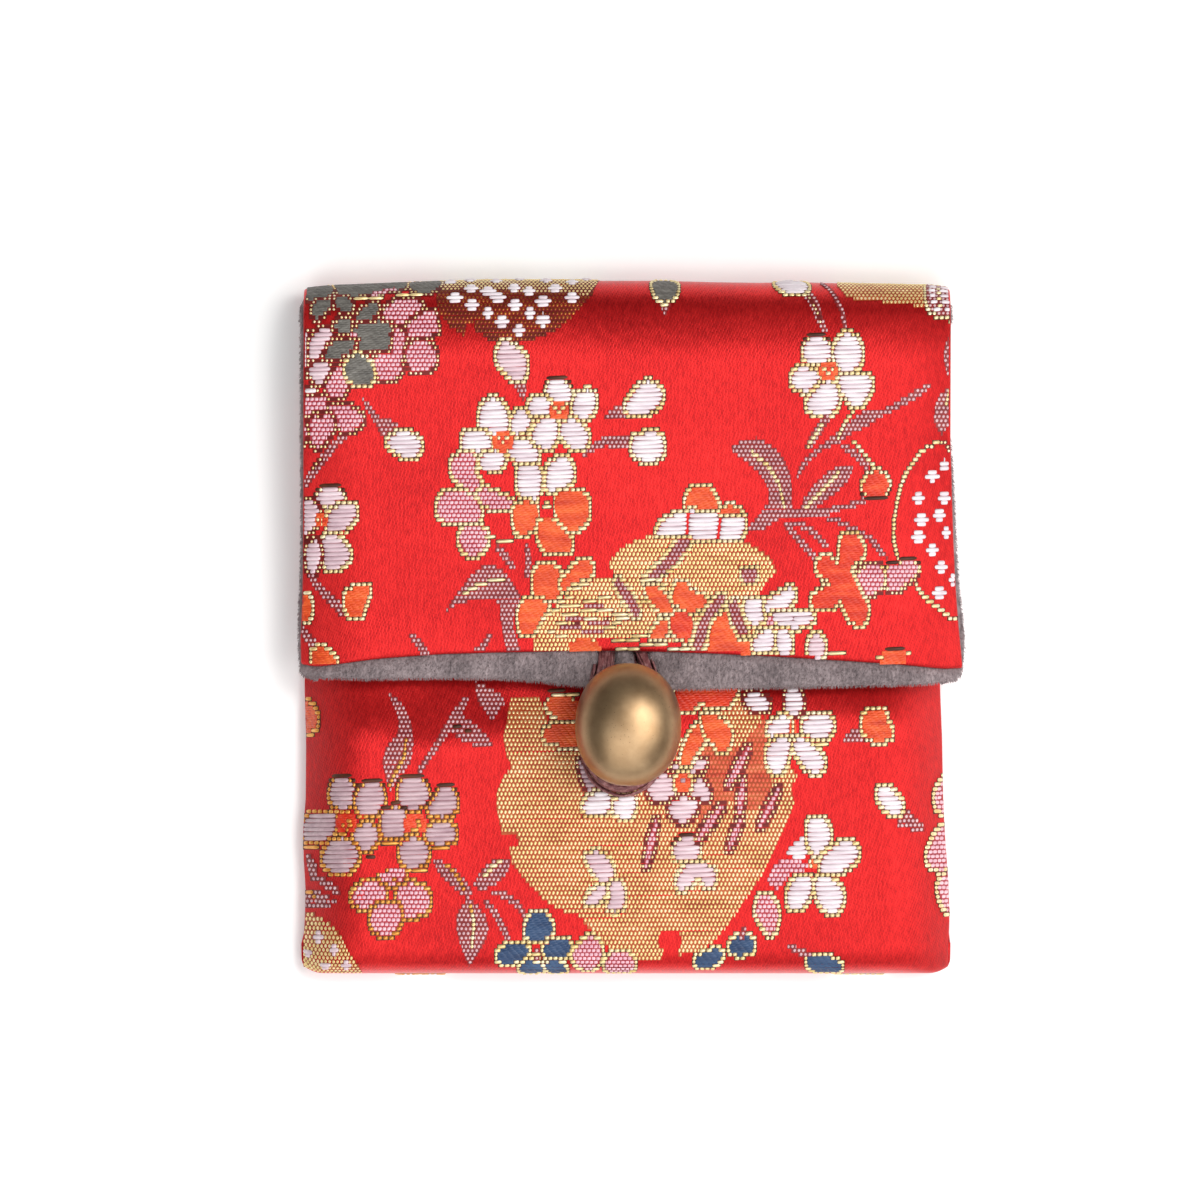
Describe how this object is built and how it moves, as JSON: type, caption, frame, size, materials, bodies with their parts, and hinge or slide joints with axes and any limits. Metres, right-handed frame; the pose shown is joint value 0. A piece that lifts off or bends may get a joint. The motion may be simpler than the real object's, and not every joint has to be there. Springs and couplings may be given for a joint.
{
  "type": "jewelry pouch",
  "caption": "Square fold-over pouch of figured silk brocade lined in grey velvet, its flap closed by a cord loop round an ovoid brass button.",
  "frame": {"origin": "under the middle of the pouch lying on its back: centre of the bounding box, on the back panel's plane", "axes": "+Z out of the front, +Y towards the top fold, +X to the right as one looks at the front"},
  "size_m": [0.0874, 0.0904, 0.0233],
  "materials": {
    "red_brocade": "red silk satin with woven gold, white, mauve, pink and orange figures",
    "grey_velvet": "mid-grey short-pile velvet, fuzzy and matte",
    "antique_brass": "matte antique brass, lightly speckled",
    "sewing_thread": "dark red sewing thread",
    "mauve_cord": "cord of fine mauve-brown silk threads"
  },
  "bodies": {
    "root": {"brocade_shell": "red_brocade", "velvet_lining": "grey_velvet", "button": "antique_brass", "button_thread": "sewing_thread", "loop_cord": "mauve_cord"}
  },
  "joints": []
}
